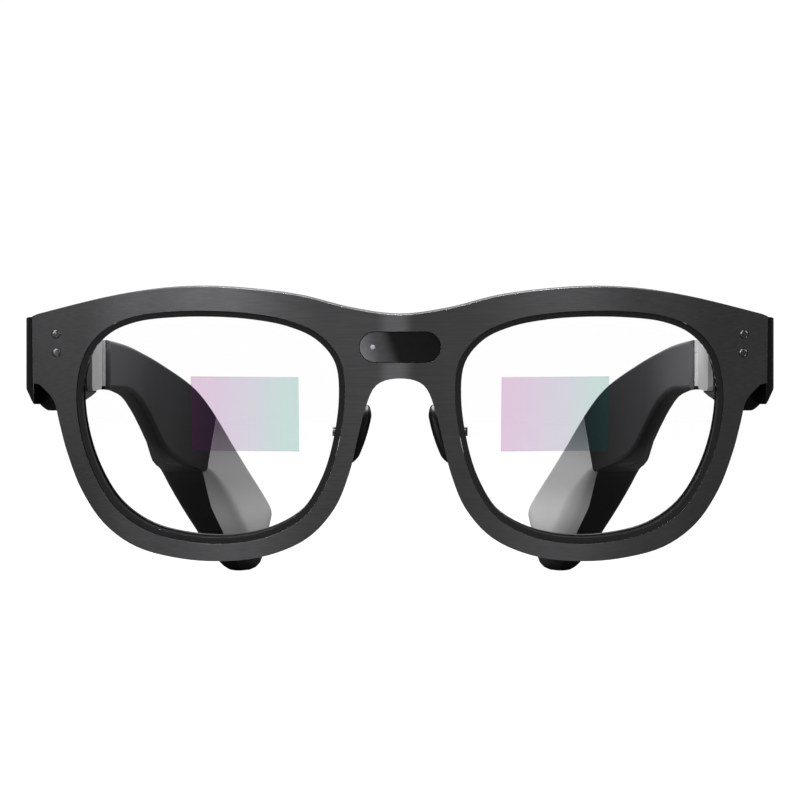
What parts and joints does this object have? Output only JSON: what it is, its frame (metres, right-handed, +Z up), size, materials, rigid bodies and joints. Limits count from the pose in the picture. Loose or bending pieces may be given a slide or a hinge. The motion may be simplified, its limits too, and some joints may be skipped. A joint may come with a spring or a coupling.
{
  "type": "smart glasses",
  "caption": "Smart glasses with a metal-faced front, clear lenses with see-through display windows, a sensor window in the bridge, rocking nose pads, folding temples and hooked ear tips.",
  "frame": {"origin": "under the middle of the open glasses, level with the lowest point of the ear tips", "axes": "+Z up with the temples level as worn, the front faces -Y, +X towards the wearer's left"},
  "size_m": [0.157, 0.1576, 0.0751],
  "materials": {
    "gunmetal": "fine brushed, satin",
    "black_polymer": "satin",
    "gloss_black": "gloss",
    "dark_glass": "gloss",
    "clear_glass": "clear",
    "display_film": "iridescent",
    "copper_flex": "satin",
    "module_black": "matte",
    "led_white": "gloss",
    "steel": "satin",
    "bright_steel": "polished",
    "hinge_cover_metal": "brushed",
    "silicone": "soft matte",
    "temple_grey": "matte",
    "tip_black": "soft touch",
    "tip_satin": "satin",
    "battery_foil": "satin",
    "circuit_green": "satin",
    "grille_metal": "matte"
  },
  "bodies": {
    "front": {"front_plate": "gunmetal", "frame_chassis": "black_polymer", "front_flex": "copper_flex", "sensor_window": "dark_glass", "camera_module": "module_black", "indicator_led": "led_white", "bridge_cover": "black_polymer", "bridge_screws": "steel", "left_lens_liner": "gloss_black", "right_lens_liner": "gloss_black", "left_cover_lens": "clear_glass", "right_cover_lens": "clear_glass", "left_display_window": "display_film", "right_display_window": "display_film", "left_waveguide": "clear_glass", "right_waveguide": "clear_glass", "left_lens_ring": "gloss_black", "right_lens_ring": "gloss_black", "left_studs": "bright_steel", "right_studs": "bright_steel", "left_pad_arm": "steel", "right_pad_arm": "steel", "left_pad_screw": "bright_steel", "right_pad_screw": "bright_steel", "left_housing": "black_polymer", "right_housing": "black_polymer", "left_hinge_cover": "hinge_cover_metal", "right_hinge_cover": "hinge_cover_metal", "left_light_engine": "module_black", "right_light_engine": "module_black", "left_front_leaf": "steel", "right_front_leaf": "steel", "left_hinge_pin": "bright_steel", "right_hinge_pin": "bright_steel"},
    "left_temple": {"left_temple_leaf": "steel", "left_temple_root": "temple_grey", "left_temple_shell": "temple_grey", "left_temple_cover": "temple_grey", "left_tip_core": "tip_black", "left_tip_cover": "tip_satin", "left_battery": "battery_foil", "left_board": "circuit_green", "left_speaker": "module_black", "left_speaker_grille": "grille_metal"},
    "right_temple": {"right_temple_leaf": "steel", "right_temple_root": "temple_grey", "right_temple_shell": "temple_grey", "right_temple_cover": "temple_grey", "right_tip_core": "tip_black", "right_tip_cover": "tip_satin", "right_battery": "battery_foil", "right_board": "circuit_green", "right_speaker": "module_black", "right_speaker_grille": "grille_metal", "capture_switch": "steel", "charge_port": "steel"},
    "left_pad": {"left_nose_pad": "silicone"},
    "right_pad": {"right_nose_pad": "silicone"},
    "capture_button": {"capture_button": "temple_grey"}
  },
  "joints": [
    {"name": "left_temple_fold", "type": "hinge", "parent": "front", "child": "left_temple", "pos_m": [0.0662, -0.05425, 0.05975], "axis": [0, 0, 1], "range_deg": [0, 60]},
    {"name": "right_temple_fold", "type": "hinge", "parent": "front", "child": "right_temple", "pos_m": [-0.0662, -0.05425, 0.05975], "axis": [0, 0, -1], "range_deg": [0, 82]},
    {"name": "left_pad_rock", "type": "hinge", "parent": "front", "child": "left_pad", "pos_m": [0.0125, -0.06235, 0.04495], "axis": [0, 1, 0], "range_deg": [-8, 8]},
    {"name": "right_pad_rock", "type": "hinge", "parent": "front", "child": "right_pad", "pos_m": [-0.0125, -0.06235, 0.04495], "axis": [0, 1, 0], "range_deg": [-8, 8]},
    {"name": "capture_button_press", "type": "slide", "parent": "right_temple", "child": "capture_button", "axis": [0, 0, -1], "range_m": [0, 0.0004], "stiffness_N_per_m": 600}
  ]
}
